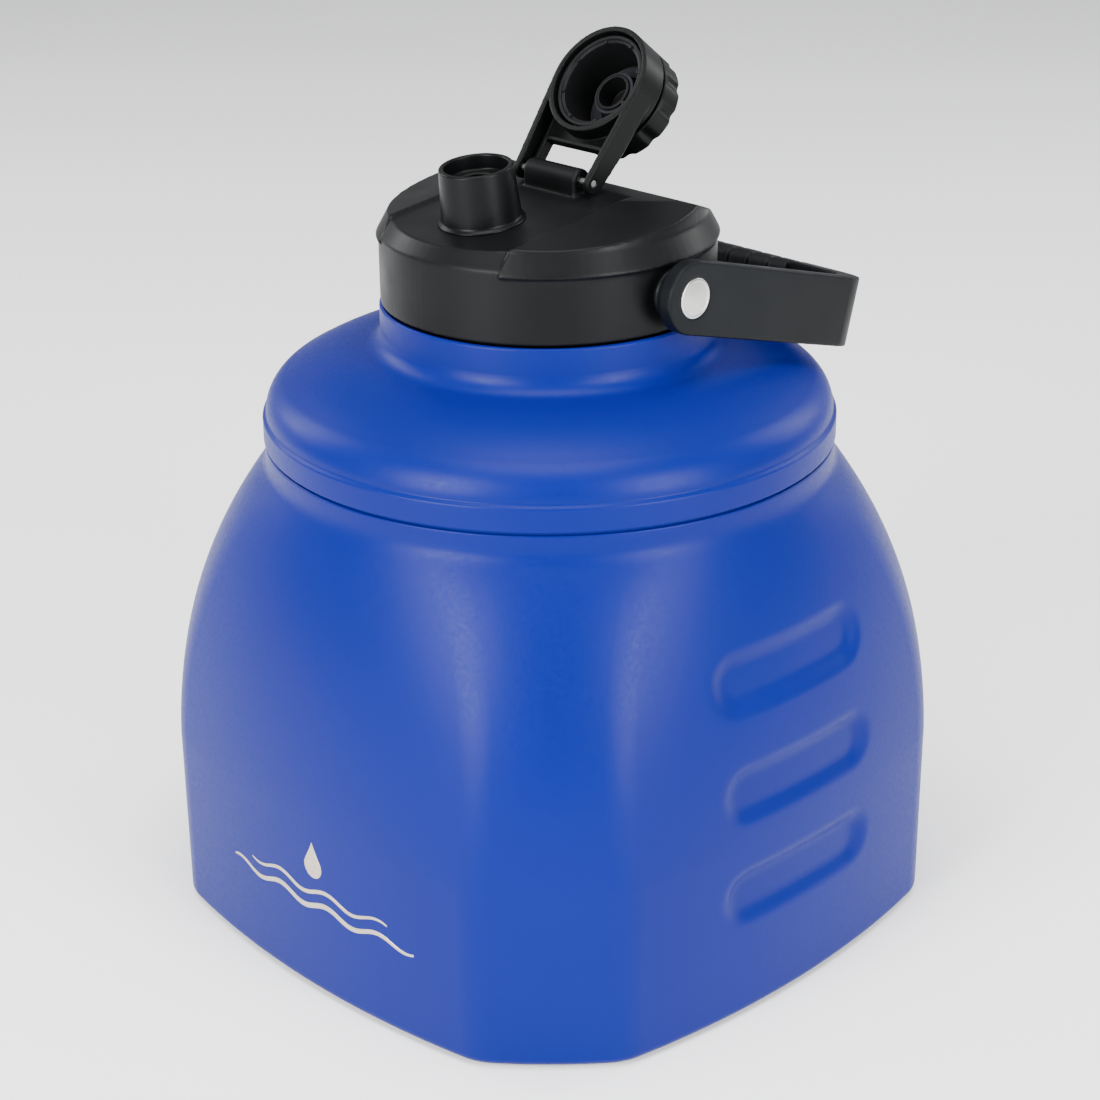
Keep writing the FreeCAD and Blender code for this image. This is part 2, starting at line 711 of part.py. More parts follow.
cap_axis = dict(x=0, y=reach)
ring_blank = solid_of("Cylinder", Radius=cap_radius, Height=ring_front - ring_back)
ring_disc = placed(ring_blank, z=ring_back, **cap_axis)
ring_hole = placed(solid_of("Cylinder", Radius=size("ring_bore"), Height=12), z=-6.5, **cap_axis)
neck_hole = placed(solid_of("Cylinder", Radius=size("cup_bore") + 1.7, Height=20), z=-12, **cap_axis)
web = arm_plate("web", [
    (-arm_half + 1, 4.0), (arm_half - 1, 4.0), (arm_half + 0.6, reach - 6.0), (-arm_half - 0.6, reach - 6.0),
], WEB_BACK, WEB_FRONT)
edge_half, edge_end = WINDOW_HALF + WINDOW_RIM, WINDOW_END + WINDOW_RIM
window_rim = block(-edge_half, edge_half, 2.6, edge_end, WEB_BACK, -0.8)
window = block(-WINDOW_HALF, WINDOW_HALF, -5.0, WINDOW_END, -9.0, 3.0)
legs = mirrored_pair(lambda side: minus(leg(side), side_profile_cut()))
leg_bore = bar_along_x(size("pin_radius") + 0.05, -25.0, 25.0, 0, 0)
web_frame = minus(joined(web, window_rim), window)
flip_arm = keep(minus(joined(ring_disc, *legs, web_frame), ring_hole, neck_hole, leg_bore),
                "flip_arm")
flip_arm.Placement = OPENED

cup_bore = size("cup_bore")
cup_outer = cup_bore + 1.4
knob = new_body("twist_knob")
knob_front, knob_back = size("knob_front"), size("knob_back")
cup_back = knob_back + 1.5
turn(knob, [
    (cup_outer + 0.1, knob_front), (cap_radius, knob_front), (cap_radius, knob_back), (0, knob_back),
    (0, cup_back - 0.1), (cup_outer + 0.1, cup_back - 0.1),
])
round_edges(knob, 2.2, ring_edge((cap_radius, knob_back)))
flute_sketch = new_sketch(knob, "XY_Plane", knob_front - 1.5)
flute = cut_from(knob, draw_circle(flute_sketch, cap_radius + 3.0, 0, 3.9), 12)
flutes = feature(knob, "PolarPattern")
flutes.Originals = [flute]
flutes.Axis = (flute.Profile[0], ["N_Axis"])
flutes.Angle = 360
flutes.Occurrences = 12
knob.Tip = flutes
knob.Placement = CAP

cup = new_body("stopper_cup")
cup_floor, plug, plug_tip = size("cup_floor"), size("plug_radius"), size("plug_tip")
flange = size("ring_bore") - 0.7
turn(cup, [
    (0, cup_back), (cup_outer, cup_back), (cup_outer, -6.2), (flange, -6.2),
    (flange, ring_front - 1.5), (cup_bore, ring_front - 1.5), (cup_bore, cup_floor), (plug, cup_floor),
    (plug, plug_tip), (plug - 1.3, plug_tip), (plug - 1.3, cup_floor + 1.0), (0, cup_floor + 1.0),
])
rib = draw(new_sketch(cup, "XY_Plane", cup_floor - 0.2), [
    (plug - 0.3, -0.7), (10.0, -0.7), (10.0, 0.7), (plug - 0.3, 0.7),
])
rib_pad = raise_from(cup, rib, 4)
ribs = feature(cup, "PolarPattern")
ribs.Originals = [rib_pad]
ribs.Axis = (rib, ["N_Axis"])
ribs.Angle = 360
ribs.Occurrences = 4
cup.Tip = ribs
cup.Placement = CAP

seal = new_body("rim_seal")
turn(seal, [
    (10.3, cup_floor + 0.02), (14.4, cup_floor + 0.02), (14.4, cup_floor + 0.8), (10.3, cup_floor + 0.8),
])
seal.Placement = CAP

plug_seal = new_body("plug_seal")
turn(plug_seal, [
    (plug + 0.02, plug_tip - 2.8), (plug + 1.1, plug_tip - 2.8), (plug + 1.1, plug_tip - 1.0),
    (plug + 0.02, plug_tip - 1.0),
])
plug_seal.Placement = CAP

# ---------------------------------------------------------------- carry handle
# Drawn in the handle's own frame: X across, Y from the pivot axis to the grip, Z across the strap.
DROOPED = Placement(Vector(0, 0, pivot_z), Rotation(X_AXIS, -sheet.droop_angle))
out, inside, strap = size("handle_out"), size("handle_in"), size("handle_half")
far, near = size("handle_reach"), size("grip_inner")
BEND_OUT, BEND_IN = 15.0, 10.0
GRIP_HALF = 37.5
GRIP_LOW = -9.2
BAND_STEP, BAND_WIDE, BAND_COUNT = 9.6, 7.6, 8
frame_body = new_body("handle_frame")
raise_from(frame_body, draw(new_sketch(frame_body, "XY_Plane"), [
    (-out, -14.0), (-inside, -14.0), (-inside, near - BEND_IN + 1.5), (-inside + BEND_IN, near + 1.5, -BEND_IN),
    (inside - BEND_IN, near + 1.5), (inside, near - BEND_IN + 1.5, -BEND_IN), (inside, -14.0), (out, -14.0),
    (out, far - BEND_OUT), (out - BEND_OUT, far - 1.2, BEND_OUT + 0.6), (-out + BEND_OUT, far - 1.2),
    (-out, far - BEND_OUT, BEND_OUT + 0.6),
]), strap * 2, midplane=True)
# Round ends at the pivots.
ends = draw(new_sketch(frame_body, "YZ_Plane"), [
    (-16.0, -16.0), (0.0, -16.0), (0.0, -strap), (-strap, 0.0, -strap), (0.0, strap, -strap),
    (0.0, 16.0), (-16.0, 16.0),
])
cut_from(frame_body, ends, 200, midplane=True)


def end_profile(body):
    """Cuts the outer face of the cross bar to its curved profile, seen from the side."""
    corners = [
        (106.0, -17.0), (106.0, 17.0), (far, 17.0), (far, 9.5), (99.6, 1.5, -20.0), (98.2, -8.0, 25.0),
        (96.8, -13.5), (96.8, -17.0),
    ]
    cut_from(body, draw(new_sketch(body, "YZ_Plane"), corners), 200, midplane=True)


# The cross bar is thinner inside the grip: the grip's sleeve closes it to full size again.
CORE_LOW, CORE_HIGH = -7.4, 10.8
CORE_NEAR, CORE_FAR = 91.0, 96.0
end_profile(frame_body)
for low, high in ((CORE_HIGH, 17.0), (-17.0, CORE_LOW)):
    notch = draw(new_sketch(frame_body, "XZ_Plane", -78.0), [
        (-GRIP_HALF, low), (GRIP_HALF, low), (GRIP_HALF, high), (-GRIP_HALF, high),
    ])
    cut_from(frame_body, notch, 40)
for low, high in ((near - 2, CORE_NEAR), (CORE_FAR, far + 4)):
    notch = draw(new_sketch(frame_body, "XY_Plane"), [
        (-GRIP_HALF, low), (GRIP_HALF, low), (GRIP_HALF, high), (-GRIP_HALF, high),
    ])
    cut_from(frame_body, notch, 60, midplane=True)
for side in (1, -1):
    bore_sketch = new_sketch(frame_body, "YZ_Plane", side * 60.0)
    cut_from(frame_body, draw_circle(bore_sketch, 0, 0, size("bush_radius") + 0.05), 20, reverse=side > 0)
    seat_sketch = new_sketch(frame_body, "YZ_Plane", side * 71.2)
    cut_from(frame_body, draw_circle(seat_sketch, 0, 0, size("disc_radius") + 0.03), 5, reverse=side > 0)
frame_body.Placement = DROOPED

grip = new_body("handle_grip")


def grip_section(height, inset):
    """The grip's rounded section, in the handle's Y and Z."""
    ease = 4.0 - inset
    low, high, start, end = GRIP_LOW + inset, strap - inset, near + inset, far - inset
    return draw(new_sketch(grip, "YZ_Plane", height), [
        (start, low + ease), (start + ease, low, ease), (end - ease, low), (end, low + ease, ease),
        (end, high - ease), (end - ease, high, ease), (start + ease, high), (start, high - ease, ease),
    ])


raise_from(grip, grip_section(-GRIP_HALF, 0.8), 2 * GRIP_HALF)
band_start = -((BAND_COUNT - 1) * BAND_STEP + BAND_WIDE) / 2
band_pad = raise_from(grip, grip_section(band_start, 0.0), BAND_WIDE)
bands = feature(grip, "LinearPattern")
bands.Originals = [band_pad]
bands.Direction = (band_pad.Profile[0], ["N_Axis"])
bands.Length = BAND_STEP * (BAND_COUNT - 1)
bands.Occurrences = BAND_COUNT
grip.Tip = bands
hole_sketch = draw(new_sketch(grip, "YZ_Plane", -GRIP_HALF - 1), [
    (CORE_NEAR, CORE_LOW), (CORE_FAR, CORE_LOW), (CORE_FAR, CORE_HIGH), (CORE_NEAR, CORE_HIGH),
])
cut_from(grip, hole_sketch, 2 * GRIP_HALF + 2, reverse=True)
end_profile(grip)
grip.Placement = DROOPED

for side, word in ((1, "right"), (-1, "left")):
    facing = Rotation(Y_AXIS, 90 * side)
    at_pivot = Placement(Vector(0, 0, pivot_z), facing)

    bush = new_body("pivot_bush_" + word)
    turn(bush, [(2.25, boss_face + 0.02), (size("bush_radius"), boss_face + 0.02), (size("bush_radius"), 70.4),
                (2.25, 70.4)])
    bush.Placement = at_pivot

    screw = new_body("pivot_screw_" + word)
    turn(screw, [(0, 59.2), (2.15, 59.2), (2.15, 70.42), (4.5, 70.42), (4.5, 70.95), (0, 70.95)])
    screw.Placement = at_pivot

    cover = new_body("pivot_disc_" + word)
    turn(cover, [(0, 71.22), (size("disc_radius"), 71.22), (size("disc_radius"), 72.1), (0, 72.5)])
    cover.Placement = at_pivot

# ---------------------------------------------------------------- checks and export
doc.recompute()
for item in doc.Objects:
    if "Invalid" in item.State or "Error" in item.State:
        raise RuntimeError(f"{item.Label} ({item.Name}) is in state {item.State}")
os.makedirs("parts", exist_ok=True)
for item in nodes:
    shape = item.Shape
    if shape.isNull() or not shape.isValid() or not shape.Solids:
        raise RuntimeError(f"{item.Label} has no valid solid")
    shape.exportStep(f"parts/{item.Label}.step")
    print(f"{item.Label:20s} solids {len(shape.Solids)} volume {shape.Volume / 1000:.1f} cm3")
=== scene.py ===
"""Looks of the large water jug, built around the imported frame. Lengths here are in millimetres."""

import math

import bmesh
import bpy
import numpy as np
from mathutils import Matrix, Vector


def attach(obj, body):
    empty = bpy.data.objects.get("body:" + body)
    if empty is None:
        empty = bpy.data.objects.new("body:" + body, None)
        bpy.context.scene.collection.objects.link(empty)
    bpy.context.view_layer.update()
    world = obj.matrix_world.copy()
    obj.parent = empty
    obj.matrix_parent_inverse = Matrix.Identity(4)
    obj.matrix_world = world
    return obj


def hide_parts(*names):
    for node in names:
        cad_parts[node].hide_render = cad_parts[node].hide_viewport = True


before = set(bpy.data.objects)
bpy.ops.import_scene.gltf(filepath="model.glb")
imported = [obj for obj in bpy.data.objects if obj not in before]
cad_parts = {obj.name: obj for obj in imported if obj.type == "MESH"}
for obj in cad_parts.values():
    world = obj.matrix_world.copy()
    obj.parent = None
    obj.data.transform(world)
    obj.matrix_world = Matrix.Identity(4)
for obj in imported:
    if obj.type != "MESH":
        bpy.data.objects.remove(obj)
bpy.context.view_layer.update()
MM = 0.001


# ---------------------------------------------------------------- materials
class Shade:
    """A principled material whose pattern nodes read the piece's own coordinates."""

    def __init__(self, name, color, roughness, metallic=0.0, gloss=0.5):
        self.mat = bpy.data.materials.new(name)
        self.mat.use_nodes = True
        self.tree = self.mat.node_tree
        self.bsdf = self.tree.nodes["Principled BSDF"]
        self.bsdf.inputs["Base Color"].default_value = (*color, 1)
        self.bsdf.inputs["Roughness"].default_value = roughness
        self.bsdf.inputs["Metallic"].default_value = metallic
        self.bsdf.inputs["Specular IOR Level"].default_value = gloss
        self.color = color
        self.roughness = roughness
        self.place = self.node("ShaderNodeTexCoord").outputs["Object"]
        self.last_bump = None

    def node(self, kind, **values):
        item = self.tree.nodes.new(kind)
        for key, value in values.items():
            if hasattr(item, key):
                setattr(item, key, value)
            else:
                item.inputs[key.replace("_", " ")].default_value = value
        return item

    def link(self, out, into):
        self.tree.links.new(out, into)

    def noise(self, scale, detail=2.0, rough=0.5, stretch=None):
        item = self.node("ShaderNodeTexNoise", Scale=scale, Detail=detail, Roughness=rough)
        where = self.place
        if stretch:
            mapping = self.node("ShaderNodeMapping")
            mapping.inputs["Scale"].default_value = stretch
            self.link(where, mapping.inputs["Vector"])
            where = mapping.outputs["Vector"]
        self.link(where, item.inputs["Vector"])
        return item.outputs["Fac"]

    def spread(self, fac, low, high, into, start=0.3, end=0.7):
        """Feeds a pattern into a socket as values from low to high."""
        item = self.node("ShaderNodeMapRange")
        for key, value in (("From Min", start), ("From Max", end), ("To Min", low), ("To Max", high)):
            item.inputs[key].default_value = value
        self.link(fac, item.inputs["Value"])
        self.link(item.outputs["Result"], into)
        return item.outputs["Result"]

    def tint(self, fac, low, high, start=0.3, end=0.7):
        """Colour that wanders between two shades of the base colour."""
        ramp = self.node("ShaderNodeValToRGB")
        ramp.color_ramp.elements[0].position = start
        ramp.color_ramp.elements[1].position = end
        ramp.color_ramp.elements[0].color = (*[c * low for c in self.color], 1)
        ramp.color_ramp.elements[1].color = (*[c * high for c in self.color], 1)
        self.link(fac, ramp.inputs["Fac"])
        self.link(ramp.outputs["Color"], self.bsdf.inputs["Base Color"])
        return ramp

    def bump(self, fac, depth, strength=1.0):
        """Adds a relief of the given depth in millimetres."""
        item = self.node("ShaderNodeBump", Strength=strength, Distance=depth * MM)
        self.link(fac, item.inputs["Height"])
        if self.last_bump:
            self.link(self.last_bump, item.inputs["Normal"])
        self.last_bump = item.outputs["Normal"]
        self.link(self.last_bump, self.bsdf.inputs["Normal"])

    def rings(self, centre, direction, pitch):
        """Fine circular brushing around a line through centre."""
        shift = self.node("ShaderNodeVectorMath", operation="SUBTRACT")
        self.link(self.place, shift.inputs[0])
        shift.inputs[1].default_value = Vector(centre) * MM
        flat = self.node("ShaderNodeVectorMath", operation="CROSS_PRODUCT")
        self.link(shift.outputs["Vector"], flat.inputs[0])
        flat.inputs[1].default_value = Vector(direction).normalized()
        length = self.node("ShaderNodeVectorMath", operation="LENGTH")
        self.link(flat.outputs["Vector"], length.inputs[0])
        line = self.node("ShaderNodeTexNoise", Scale=1 / (pitch * MM), Detail=3.0)
        line.noise_dimensions = "1D"
        self.link(length.outputs["Value"], line.inputs["W"])
        return line.outputs["Fac"]


def coat():
    """Satin powder coat: deep blue, fine orange peel with a finer grain on top."""
    s = Shade("blue_powder_coat", (0.0, 0.0040, 0.118), 0.40, gloss=0.12)
    s.tint(s.noise(9.0, 3.0), 0.95, 1.05)
    s.spread(s.noise(700.0, 2.0), 0.36, 0.45, s.bsdf.inputs["Roughness"])
    s.bump(s.noise(950.0, 1.5), 0.035, 0.55)
    s.bump(s.noise(3200.0, 1.0), 0.012, 0.6)
    return s.mat


def plastic(name, color, roughness, grain=0.02):
    """Moulded plastic with a spark-eroded grain, slightly uneven in gloss."""
    s = Shade(name, color, roughness, gloss=0.10)
    s.tint(s.noise(35.0, 3.0), 0.85, 1.15)
    s.spread(s.noise(60.0, 4.0), roughness - 0.05, roughness + 0.06, s.bsdf.inputs["Roughness"])
    s.bump(s.noise(1500.0, 2.0), grain, 0.6)
    s.bump(s.noise(260.0, 2.0), grain * 0.8, 0.35)
    return s.mat


def brushed(name, centre, direction, color=(0.54, 0.54, 0.52), roughness=0.30, pitch=0.25):
    """Steel with circular brushing around a line through centre."""
    s = Shade(name, color, roughness, 1.0)
    lines = s.rings(centre, direction, pitch)
    s.tint(lines, 0.86, 1.08)
    s.spread(lines, roughness - 0.07, roughness + 0.10, s.bsdf.inputs["Roughness"])
    s.bump(lines, 0.012, 0.5)
    return s.mat


def drawn_steel(name, color, roughness, stretch):
    """Sheet steel with a fine directional polish."""
    s = Shade(name, color, roughness, 1.0)
    lines = s.noise(420.0, 3.0, 0.6, stretch)
    s.tint(lines, 0.9, 1.06)
    s.spread(lines, roughness - 0.06, roughness + 0.08, s.bsdf.inputs["Roughness"])
    s.bump(lines, 0.01, 0.4)
    return s.mat


def soft_rubber(name, color, roughness, grain=0.02):
    """Matte rubber with a fine, uneven skin."""
    s = Shade(name, color, roughness, gloss=0.12)
    s.tint(s.noise(120.0, 4.0), 0.85, 1.2)
    s.spread(s.noise(300.0, 3.0), roughness - 0.06, roughness + 0.05, s.bsdf.inputs["Roughness"])
    s.bump(s.noise(2200.0, 2.0), grain, 0.5)
    return s.mat


PIVOT = (0, 0, 250.5)
BLUE = coat()
LID_BLACK = plastic("lid_plastic", (0.0024, 0.0027, 0.0030), 0.40)
SPOUT_BLACK = plastic("spout_plastic", (0.0018, 0.0020, 0.0022), 0.36, 0.012)
CAP_BLACK = plastic("cap_plastic", (0.0020, 0.0022, 0.0023), 0.38, 0.014)
CUP_BLACK = plastic("cup_plastic", (0.0045, 0.0047, 0.0050), 0.42, 0.01)
HANDLE_BLACK = plastic("handle_plastic", (0.0020, 0.0027, 0.0036), 0.44, 0.022)
GRIP_BLACK = soft_rubber("grip_rubber", (0.0022, 0.0027, 0.0033), 0.52)
FOOT_BLACK = soft_rubber("foot_rubber", (0.012, 0.012, 0.013), 0.62)
SILICONE = soft_rubber("milky_silicone", (0.56, 0.57, 0.55), 0.45, 0.01)
SEAL_GREY = soft_rubber("seal_rubber", (0.012, 0.013, 0.016), 0.5, 0.01)
DISC_STEEL = brushed("disc_steel", PIVOT, (1, 0, 0))
SCREW_STEEL = brushed("screw_steel", PIVOT, (1, 0, 0), (0.5, 0.5, 0.5), 0.34)
VESSEL_STEEL = drawn_steel("vessel_steel", (0.6, 0.6, 0.6), 0.27, (0.15, 0.15, 3.0))
PLATE_STEEL = brushed("plate_steel", (0, 0, 0), (0, 0, 1), (0.55, 0.55, 0.55), 0.33, 0.6)
MARK_STEEL = drawn_steel("mark_steel", (0.52, 0.47, 0.40), 0.38, (0.2, 1.0, 3.0))


# ---------------------------------------------------------------- mesh tools
def grid_faces(rows, columns, close_rows):
    """Faces of a grid whose columns run round a closed loop."""
    faces = []
    for i in range(rows if close_rows else rows - 1):
        a, b = i * columns, (i + 1) % rows * columns
        for j in range(columns):
            k = (j + 1) % columns
            faces.append((a + j, a + k, b + k, b + j))
    return faces


def make(name, points, faces, material, matrix=None):
    """A smooth mesh object from points in millimetres."""
    mesh = bpy.data.meshes.new(name)
    mesh.from_pydata([tuple(p) for p in np.asarray(points, float) * MM], [], faces)
    shape = bmesh.new()
    shape.from_mesh(mesh)
    if matrix is not None:
        shape.transform(in_metres(matrix))
    bmesh.ops.recalc_face_normals(shape, faces=shape.faces)
    for face in shape.faces:
        face.smooth = True
    shape.to_mesh(mesh)
    shape.free()
    mesh.materials.append(material)
    item = bpy.data.objects.new(name, mesh)
    bpy.context.scene.collection.objects.link(item)
    return item


def in_metres(matrix):
    moved = matrix.copy()
    moved.translation = matrix.translation * MM
    return moved


def settle(item, body, slot, *nodes):
    """Evens the shading, and makes the piece ride on its body in place of CAD nodes."""
    item.modifiers.new("even_shading", "WEIGHTED_NORMAL").keep_sharp = True
    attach(item, body)
    if nodes:
        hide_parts(*nodes)
    return item


def arc(start, end, radius, steps=12):
    """Points from start to end on an arc; a positive radius bulges to the right of the travel."""
    start, end = Vector(start), Vector(end)
    chord = end - start
    side = Vector((-chord.y, chord.x)).normalized() * (1 if radius > 0 else -1)
    centre = (start + end) / 2 + side * math.sqrt(radius ** 2 - chord.length_squared / 4)
    first = math.atan2(start.y - centre.y, start.x - centre.x)
    last = math.atan2(end.y - centre.y, end.x - centre.x)
    if radius > 0 and last < first:
        last += 2 * math.pi
    if radius < 0 and last > first:
        last -= 2 * math.pi
    spots = [first + (last - first) * k / steps for k in range(steps + 1)]
    return [(centre.x + abs(radius) * math.cos(t), centre.y + abs(radius) * math.sin(t)) for t in spots]


def rounded(corners, steps=5):
    """A closed outline from corners (x, y) or (x, y, fillet radius)."""
    out = []
    for i, corner in enumerate(corners):
        here = Vector(corner[:2])
        radius = corner[2] if len(corner) == 3 else 0
        before = Vector(corners[i - 1][:2]) - here
        after = Vector(corners[(i + 1) % len(corners)][:2]) - here
        bend = before.angle(after) if radius else 0
        if not radius or bend > math.radians(178):
            out.append(tuple(here))
            continue
        reach = min(radius / math.tan(bend / 2), before.length * 0.49, after.length * 0.49)
        a, b = here + before.normalized() * reach, here + after.normalized() * reach
        for k in range(steps + 1):
            t = k / steps
            out.append(tuple(a * (1 - t) ** 2 + here * 2 * t * (1 - t) + b * t * t))
    return out


def lathe(name, profile, material, matrix=None, segments=128, shape=None):
    """A closed outline in (radius, height) turned about Z; shape(r, z, angle) may change a radius."""
    points, rows = [], []
    for r, z in profile:
        if r < 1e-6:
            rows.append([len(points)] * segments)
            points.append((0, 0, z))
            continue
        rows.append(range(len(points), len(points) + segments))
        for j in range(segments):
            angle = 2 * math.pi * j / segments
            reach = shape(r, z, angle) if shape else r
            points.append((reach * math.cos(angle), reach * math.sin(angle), z))
    faces = []
    for i in range(len(rows)):
        a, b = rows[i], rows[(i + 1) % len(rows)]
        if a[0] == a[1] and b[0] == b[1]:
            continue
        for j in range(segments):
            k = (j + 1) % segments
            corners = (a[j], a[k], b[k], b[j])
            faces.append(tuple(dict.fromkeys(corners)))
    return make(name, points, faces, material, matrix)


def softened(name, node, material, voxel, rounds, share=1.0):
    """The node's own shape with every edge eased, as a moulded part comes out of its tool."""
    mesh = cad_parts[node].data.copy()
    mesh.materials.clear()
    mesh.materials.append(material)
    item = bpy.data.objects.new(name, mesh)
    bpy.context.scene.collection.objects.link(item)
    shape = bmesh.new()
    shape.from_mesh(mesh)
    bmesh.ops.remove_doubles(shape, verts=shape.verts, dist=1e-6)
    shape.to_mesh(mesh)
    shape.free()
    remesh = item.modifiers.new("remesh", "REMESH")
    remesh.mode = "VOXEL"
    remesh.voxel_size = voxel * MM
    smooth = item.modifiers.new("smooth", "SMOOTH")
    smooth.factor = 0.5
    smooth.iterations = rounds
    if share < 1:
        thin = item.modifiers.new("thin", "DECIMATE")
        thin.ratio = share
    done = bpy.data.meshes.new_from_object(item.evaluated_get(bpy.context.evaluated_depsgraph_get()))
    item.modifiers.clear()
    item.data = done
    done.name = name
    done.polygons.foreach_set("use_smooth", [True] * len(done.polygons))
    done.materials.clear()
    done.materials.append(material)
    return item


def merge(name, items):
    """Joins several mesh objects into one."""
    joined = bmesh.new()
    for item in items:
        joined.from_mesh(item.data)
    mesh = bpy.data.meshes.new(name)
    joined.to_mesh(mesh)
    joined.free()
    mesh.materials.append(items[0].data.materials[0])
    for item in items:
        bpy.data.objects.remove(item)
    whole = bpy.data.objects.new(name, mesh)
    bpy.context.scene.collection.objects.link(whole)
    return whole


# ---------------------------------------------------------------- body shell
FACE_HALF, CORNER_REACH, COLLAR = 127.5, 143.2, 105.4
WALL_TOP, COLLAR_LOW, SEAM, SHELL_LOW = 70.0, 177.5, 185.6, 1.6
BEND, SIDE_TURN, CORNER_TURN = 24.0, (11.3, 21.0), (39.5, 29.0)
RECESSES = (49.5, 89.5, 129.5)
RECESS_DEPTH, RECESS_HALF, RECESS_REACH, RECESS_FADE, SIDE_FROM = 2.6, 27.6, 12.4, 7.6, 90
SWELL_FROM, SWELL_SLOPE, SWELL_REACH = 60, 0.43, 1.5
SKIN_INSET, WALL, WALL_LEVEL = 0.06, 1.0, 1.25


def lean(reach, rise):
    """A reach of the outline after the wall has leaned in towards the collar over the given rise."""
    span = COLLAR_LOW - WALL_TOP
    drop = reach - COLLAR
    radius = (span * span + drop * drop) / (2 * drop)
    return reach - (radius - math.sqrt(radius * radius - rise * rise))


def quarter(height):
    """Four tangent arcs of one quarter of the outline: (from, to, radius, centre x, centre y)."""
    rise = min(max(0.0, height - WALL_TOP), COLLAR_LOW - WALL_TOP)
    share = rise / (COLLAR_LOW - WALL_TOP)
    side, corner = lean(FACE_HALF, rise), lean(CORNER_REACH, rise)
    first = math.radians(SIDE_TURN[0] + (SIDE_TURN[1] - SIDE_TURN[0]) * share)
    second = math.radians(CORNER_TURN[0] + (CORNER_TURN[1] - CORNER_TURN[0]) * share)
    middle, square = math.pi / 4, math.pi / 2
    bend = 1 / ((1 - share) / BEND + share / COLLAR)
    across = side - corner * math.cos(middle) - bend * (math.cos(first) - math.cos(second))
    along = corner * math.sin(middle) - bend * (math.sin(second) - math.sin(first))
    a, b = 1 - math.cos(first), math.cos(second) - math.cos(middle)
    c, d = math.sin(first), math.sin(middle) - math.sin(second)
    flat = (across * d - b * along) / (a * d - b * c)
    cut = (a * along - across * c) / (a * d - b * c)
    side_x = side - flat
    bend_x = side_x + math.cos(first) * (flat - bend)
    bend_y = math.sin(first) * (flat - bend)
    cut_x = bend_x + math.cos(second) * (bend - cut)
    cut_y = bend_y + math.sin(second) * (bend - cut)
    return (
        (-first, first, flat, side_x, 0.0),
        (first, second, bend, bend_x, bend_y),
        (second, square - second, cut, cut_x, cut_y),
        (square - second, square - first, bend, bend_y, bend_x),
    )


def ring(height, inset):
    """One level of the outline as points and their outward directions."""
    spots, normals = [], []
    for turn in range(4):
        for (start, end, radius, x, y), steps in zip(quarter(height), (68, 14, 18, 14)):
            for k in range(steps):
                angle = start + (end - start) * k / steps
                px, py = x + (radius - inset) * math.cos(angle), y + (radius - inset) * math.sin(angle)
                nx, ny = math.cos(angle), math.sin(angle)
                for _ in range(turn):
                    px, py, nx, ny = -py, px, -ny, nx
                spots.append((px, py))
                normals.append((nx, ny))
    return np.array(spots), np.array(normals)


def smoothstep(t):
    t = np.clip(t, 0, 1)
    return t * t * (3 - 2 * t)


def recess_depth(spots, height):
    """How far the three grip troughs of the two sides press the wall in."""
    depth = np.zeros(len(spots))
    on_side = np.abs(spots[:, 0]) > SIDE_FROM
    beyond = np.clip(np.abs(spots[:, 1]) - RECESS_HALF, 0, None)
    for middle in RECESSES:
        away = np.sqrt(beyond ** 2 + (height - middle) ** 2)
        depth += RECESS_DEPTH * smoothstep((RECESS_REACH - away) / RECESS_FADE) * on_side
    return depth


def body_shell():
    """The square body's wall: rounded foot edge, swelling into the seam, and its inner face."""
    levels, edge, lip = [], 2.6, 0.7
    for k in range(7):
        t = math.pi / 2 * k / 6
        levels.append((SHELL_LOW + edge * (1 - math.cos(t)), edge * (1 - math.sin(t)) + SKIN_INSET))
    height = SHELL_LOW + edge + 1.0
    while height < SEAM - 0.9:
        swell = 0.0
        if height > WALL_TOP + SWELL_FROM:
            free = COLLAR - SWELL_SLOPE * (height - COLLAR_LOW)
            gap = abs(free - COLLAR)
            swell = max(0.0, SWELL_REACH - gap) ** 2 / 6
        levels.append((height, SKIN_INSET - swell))
        height += WALL_LEVEL
    for k in range(5):
        t = math.pi / 2 * k / 4
        levels.append((SEAM - lip * (1 - math.sin(t)), SKIN_INSET + lip * (1 - math.cos(t))))
    inside = [(SEAM - 0.4, WALL)] + [(z, WALL) for z in range(180, 5, -10)] + [(SHELL_LOW + 0.3, 1.2)]
    points = []
    for height, inset in levels + inside:
        spots, normals = ring(height, inset)
        clear = 1.04 if inset >= WALL else 1.0
        spots = spots - normals * (recess_depth(spots, height) * clear)[:, None]
        points.extend((x, y, height) for x, y in spots)
    columns = len(spots)
    faces = grid_faces(len(levels) + len(inside), columns, True)
    return make("body_shell", points, faces, BLUE)


settle(body_shell(), "jug", "blue_coat", "outer_shell")

# ---------------------------------------------------------------- dome
dome_profile = rounded([
    (60.3, 236.25, 0.6), (61.5, 235.6, 0.9), (61.5, 226.5, 0.0),
    *arc((61.5, 226.4), (66.9, 219.7), 7.0, 8),
    *arc((67.6, 219.5), (96.0, 209.2), -80.0, 16)[1:],
    *arc((96.0, 209.2), (104.4, 197.9), -15.0, 12)[1:],
    (104.4, 196.3, 0.9), (105.7, 195.2, 1.2), (105.7, 186.6, 0.7),
    (104.3, 186.6), (104.3, 180.2), (103.4, 180.2), (103.4, 197.6),
    *arc((103.4, 197.6), (95.4, 208.3), 14.2, 8)[1:],
    *arc((95.4, 208.3), (60.5, 219.3), 79.0, 8)[1:],
    (60.5, 235.2),
])
settle(lathe("dome", dome_profile, BLUE, segments=256), "jug", "blue_coat", "shoulder_dome")

# ---------------------------------------------------------------- lid and spout
lid_top = softened("lid_top", "lid_shell", LID_BLACK, 0.5, 9, 0.45)
settle(lid_top, "lid", "black_plastic", "lid_shell")

